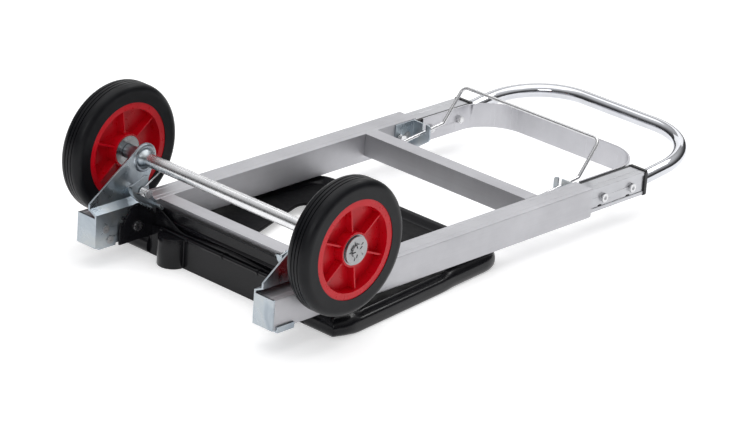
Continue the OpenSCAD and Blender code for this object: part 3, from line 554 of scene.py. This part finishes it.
def toe_ring(d):
    """The plate's outline pulled in by d, its corners rounded and its edges in short runs."""
    back = TOE_BACK + d
    hinge = max(HINGE_Y, back)
    cut = TOE_BACK + CORNER_L + d
    tip = TOE_TIP - d
    x_back, x_cut, x_tip = toe_half(back) - CORNER_IN - d, toe_half(cut) - d, toe_half(tip) - d
    tip_reach = max(TIP_REACH - d, 6)
    # corner, how far its rounding reaches, points on the rounding, runs on the edge after it
    half = [((HINGE_HALF, hinge), 0, 1, 1), ((HINGE_HALF, back), 0, 1, 4),
            ((x_back, back), 2, 4, 3), ((x_cut, cut), 8, 6, 34),
            ((x_tip, tip), tip_reach, 12, 14)]
    mirrored = [((-c[0], c[1]), reach, n, None) for c, reach, n, _ in reversed(half)]
    runs = [34, 3, 4, 1, 16]
    corners = half + [(c, reach, n, r) for (c, reach, n, _), r in zip(mirrored, runs)]
    count = len(corners)
    rounded = []
    for i, (c, reach, n, r) in enumerate(corners):
        p = Vector(c)
        before = Vector(corners[i - 1][0]) - p
        after = Vector(corners[(i + 1) % count][0]) - p
        a = p + before.normalized() * reach if reach else p
        b = p + after.normalized() * reach if reach else p
        rounded.append((curve(a, p, b, n), r))
    ring = []
    for i, (points, r) in enumerate(rounded):
        ring += points
        start, end = points[-1], rounded[(i + 1) % count][0][0]
        ring += [start.lerp(end, k / r) for k in range(1, r)]
    return ring


def cut_out_ring(ring):
    """The opening's middle, and where the line to it from each point of a ring meets the edge."""
    near_y, far_y = TOE_BACK + OPENING_NEAR, TOE_TIP - OPENING_FAR
    far_half = toe_half(TOE_TIP) - OPENING_SIDE
    near_half = far_half - OPENING_DRAW
    corners = [(near_half, near_y, NEAR_REACH), (far_half, far_y, FAR_REACH),
               (-far_half, far_y, FAR_REACH), (-near_half, near_y, NEAR_REACH)]
    middle = Vector((0, (near_y + far_y) / 2))
    edge = []
    for i, (x, y, reach) in enumerate(corners):
        p = Vector((x, y))
        before = Vector(corners[i - 1][:2]) - p
        after = Vector(corners[(i + 1) % 4][:2]) - p
        a, b = p + before.normalized() * reach, p + after.normalized() * reach
        edge += curve(a, p, b, 17)
    out = []
    for p in ring:
        away = (p - middle).normalized()
        best = None
        for a, b in zip(edge, edge[1:] + edge[:1]):
            side = b - a
            turn = away.x * side.y - away.y * side.x
            if abs(turn) < 1e-9:
                continue
            gap = a - middle
            reach = (gap.x * side.y - gap.y * side.x) / turn
            share = (gap.x * away.y - gap.y * away.x) / turn
            if reach > 0 and -1e-6 <= share <= 1 + 1e-6:
                best = reach if best is None else min(best, reach)
        out.append(middle + away * best)
    return middle, out


def pressed_toe_plate():
    """Sheet with a beaded, rounded edge, a sunk panel and an opening with a turned-down edge."""
    base = toe_ring(0)
    bm = bmesh.new()
    rings = []
    for (bead_d, bead_z), (plain_d, plain_z) in zip(BEADED, PLAIN):
        flat = []
        inner = {d: toe_ring(d) for d in (bead_d, plain_d)}
        for i, p in enumerate(base):
            bead = smoothstep(*BEAD_START, p.y) * (1 - smoothstep(*BEAD_END, p.y))
            q = inner[plain_d][i].lerp(inner[bead_d][i], bead)
            z = TOE_TOP * (plain_z + (bead_z - plain_z) * bead)
            if p.y > TOE_BACK + 8 and abs(p.x) < HINGE_HALF + 0.5 and p.y < HINGE_Y + 1:
                z = min(z, PANEL_Z)
            flat.append(spot(q.x, q.y, z))
        rings.append(flat)
    last = toe_ring(PLAIN[-1][0])
    middle, opening = cut_out_ring(last)
    for share in (0.3, 0.6, 0.85):
        rings.append([spot(*(p.lerp(q, share)), PANEL_Z) for p, q in zip(last, opening)])
    for out, z in ((2.4, 0), (0.9, -0.4), (0.2, -1.3), (0, -2.4), (0, -4)):
        rings.append([spot(*(q + (q - middle).normalized() * out), PANEL_Z + z) for q in opening])
    rows = add_rings(bm, rings)
    # the sunk panel's faces take the duller black paint, as painted shade for the recess
    sunk = {v for row in rows[len(PLAIN) - 2:] for v in row}
    for face in bm.faces:
        face.material_index = int(all(v in sunk for v in face.verts))
    plate = new_piece("pressed_toe_plate", bm, "black_paint", "toe", ["toe_plate"], 50)
    plate.data.materials.append(MATERIALS["recess_shade_paint"])
    sheet = plate.modifiers.new("sheet", "SOLIDIFY")
    sheet.thickness = SHEET * MM
    sheet.offset = -1
    sheet.use_even_offset = False


# ---------------------------------------------------------------- latches and springs

LATCH_T = 2.2
WIRE_R = 0.8
# How far the lever's tooth reaches in past its blade, in the CAD and as drawn here
PAD_IN, TOOTH_IN = 12, 10


def latch_blade(side, word):
    """Pressed latch lever with a pointed thumb end, a tongue down to its tooth, a folded edge."""
    pivot = Vector(JOINTS[f"latch_{word}_lift"]["pos_m"])
    low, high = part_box(f"latch_lever_{word}")
    inward = -side
    x_out, x_in = (low.x, high.x) if side < 0 else (high.x, low.x)
    face_x = x_in - inward * PAD_IN * MM

    def p(y, z):
        return pivot + Vector((0, y * MM, z * MM))

    outline = [(-19, 8.5), (-14, 10), (-8, 11.5), (-2, 14), (4, 17), (8.5, 16), (9.5, 8),
               (10.5, 0), (13, -6), (18.5, -12.5), (24, -18), (18.5, -24.5), (11, -20.5),
               (3, -16.5), (-5, -11.5), (-12, -5), (-17, 2)]
    bm = bmesh.new()
    faces = []
    for x in (0, side * LATCH_T * MM):
        faces.append([bm.verts.new(Vector((face_x + x, p(y, z).y, p(y, z).z)))
                      for y, z in outline])
    bm.faces.new(faces[0])
    bm.faces.new(faces[1][::-1])
    n = len(outline)
    for i in range(n):
        j = (i + 1) % n
        bm.faces.new((faces[0][i], faces[1][i], faces[1][j], faces[0][j]))
    # folded edge under the thumb end, turned towards the middle of the truck
    fold = outline[12:] + outline[:1]
    rows = []
    for deep, drop in ((0, 0), (2.2, 0.2), (5.2, 1.4)):
        rows.append([Vector((face_x + inward * deep * MM, p(y, z).y - drop * 0.6 * MM,
                             p(y, z).z - drop * 0.6 * MM)) for y, z in fold])
        rows.append([v + Vector((0, 0.9 * MM, 1.1 * MM)) for v in rows[-1]])
    outer, inner = rows[0::2], rows[1::2]
    section = outer + inner[::-1]
    add_rings(bm, [[ring[k] for ring in section] for k in range(len(fold))])
    # tooth: a bent tab that crosses the sheet towards the notched ear
    tooth = Vector((21, -21.3))
    along = Vector((0.72, 0.69))
    across = Vector((-0.69, 0.72))
    square = [tooth + along * a + across * b
              for a, b in ((-1.3, -4), (1.3, -4), (1.3, 4), (-1.3, 4))]
    ends = [face_x + inward * TOOTH_IN * MM, x_out]
    rows = [[Vector((x, p(q.x, q.y).y, p(q.x, q.y).z)) for q in square] for x in ends]
    made = add_rings(bm, rows)
    bm.faces.new(made[0][::-1])
    bm.faces.new(made[1])
    blade = new_piece(f"latch_blade_{word}", bm, "zinc", f"latch_{word}",
                      [f"latch_lever_{word}"], 30)
    bevel_edges(blade, 0.35 * MM, 40)


def torsion_spring(side, word):
    """Coil round the latch pin with a long leg on the bracket and a short hooked one."""
    pivot = Vector(JOINTS[f"latch_{word}_lift"]["pos_m"])
    low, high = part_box(f"latch_spring_{word}")
    turns, steps, radius = 4.25, 28, 4.3 * MM
    x0, x1 = low.x + WIRE_R * MM, high.x - WIRE_R * MM
    if side > 0:
        x0, x1 = x1, x0
    path = [Vector((x0, pivot.y + 25 * MM, pivot.z + 17 * MM)),
            Vector((x0, pivot.y + 14 * MM, pivot.z + 11 * MM)),
            Vector((x0, pivot.y + 5 * MM, pivot.z + 5.6 * MM))]
    count = int(turns * steps)
    start = math.radians(75)
    for k in range(count + 1):
        a = start + math.tau * turns * k / count
        path.append(Vector((x0 + (x1 - x0) * k / count, pivot.y + radius * math.cos(a),
                            pivot.z + radius * math.sin(a))))
    last = path[-1]
    path += [last + Vector((0, -6 * MM, 1.0 * MM)), last + Vector((0, -13 * MM, 3.5 * MM))]
    bm = bmesh.new()
    tube(bm, path, WIRE_R * MM)
    new_piece(f"torsion_spring_{word}", bm, "bright_steel", "frame",
              [f"latch_spring_{word}"], 60)


def axle_flare(side, word):
    """Pressed ring round the axle in the bracket's ear, and the tube's flared end against it."""
    axle = Vector(JOINTS["wheel_right_spin"]["pos_m"])
    low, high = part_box("axle_tube")
    x = high.x if side > 0 else low.x
    inward = -side * MM
    bm = bmesh.new()
    ring = [(x, 16.0 * MM), (x + 0.9 * inward, 15.2 * MM), (x + 1.5 * inward, 13.8 * MM),
            (x + 1.5 * inward, 12.6 * MM), (x + 0.8 * inward, 11.4 * MM),
            (x + 0.5 * inward, 10.6 * MM), (x + 1.4 * inward, 10.2 * MM),
            (x + 2.4 * inward, 9.6 * MM), (x + 4.2 * inward, 8.5 * MM),
            (x + 7.0 * inward, 7.75 * MM), (x + 9.0 * inward, 7.55 * MM)]
    lathe_x(bm, axle, ring, 56)
    new_piece(f"axle_flare_{word}", bm, "zinc", "frame", smooth=60)


# Thickness of a lock pin's head and of its bracket, each with room for the spring's wire
LOCK_HEAD, LOCK_SHEET = 2.5, 2.9


def lock_pin_spring(side, word):
    """Compression spring on a lock pin, between the pin's head and its bracket."""
    low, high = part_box(f"lock_pin_{word}")
    middle = (low + high) / 2
    turns, steps, radius, wire = 3.5, 24, 3.9 * MM, 0.4 * MM
    x_head = (high.x if side < 0 else low.x) + side * LOCK_HEAD * MM
    x_wall = side * (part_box("lock_bracket_right")[1].x - LOCK_SHEET * MM)
    count = int(turns * steps)
    path = []
    for k in range(count + 1):
        a = math.tau * turns * k / count
        path.append(Vector((x_head + (x_wall - x_head) * k / count,
                            middle.y + radius * math.cos(a), middle.z + radius * math.sin(a))))
    bm = bmesh.new()
    tube(bm, path, wire, 8)
    new_piece(f"lock_pin_spring_{word}", bm, "bright_steel", "frame", smooth=60)


def swept_web():
    """Web in front of the toe plate's upstand: high beside each ear, swept down to the middle."""
    low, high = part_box("toe_upstand")
    gap = 0.3
    half = high.x / MM - gap
    y1 = (low.y - FOOT_Y) / MM - gap
    y0 = y1 - SHEET
    foot, ear_top, dip, middle = 33, high.z / MM - 1, 38, 42
    bm = bmesh.new()
    rings = []
    count = 96
    for k in range(count + 1):
        x = half * (2 * k / count - 1)
        t = abs(x) / half
        top = middle + (dip - middle) * smoothstep(0, 0.6, t) + (ear_top - dip) * smoothstep(
            0.6, 1.0, t)
        rings.append([spot(x, y, z) for y, z in
                      ((y0, foot), (y0, top - 0.7), (y0 + 0.5, top), (y1 - 0.5, top),
                       (y1, top - 0.7), (y1, foot))])
    rows = add_rings(bm, rings)
    bm.faces.new(rows[0][::-1])
    bm.faces.new(rows[-1])
    new_piece("swept_web", bm, "black_paint", "toe", smooth=60)


def rolled_lip():
    """Rolled edge along the top of the hinge channel, with a few crimped rings."""
    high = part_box("toe_channel")[1]
    end_gap, radius, ring_radius, ring_half = 14, 2.3, 3.1, 1.6
    half = high.x / MM - end_gap
    y, z = TOE_BACK + 2 * radius, high.z / MM + 0.6
    bm = bmesh.new()
    tube(bm, [spot(half * (k / 20 - 1), y, z) for k in range(41)], radius * MM, 14)
    for x in (-62, -8, 46):
        tube(bm, [spot(x - ring_half, y, z), spot(x + ring_half, y, z)], ring_radius * MM, 14)
    new_piece("rolled_lip", bm, "black_paint", "toe", smooth=50)


def small_parts():
    swept_web()
    rolled_lip()
    for side, word in ((-1, "left"), (1, "right")):
        latch_blade(side, word)
        torsion_spring(side, word)
        axle_flare(side, word)
        lock_pin_spring(side, word)


studio()
dress_nodes()
pressed_toe_plate()
small_parts()
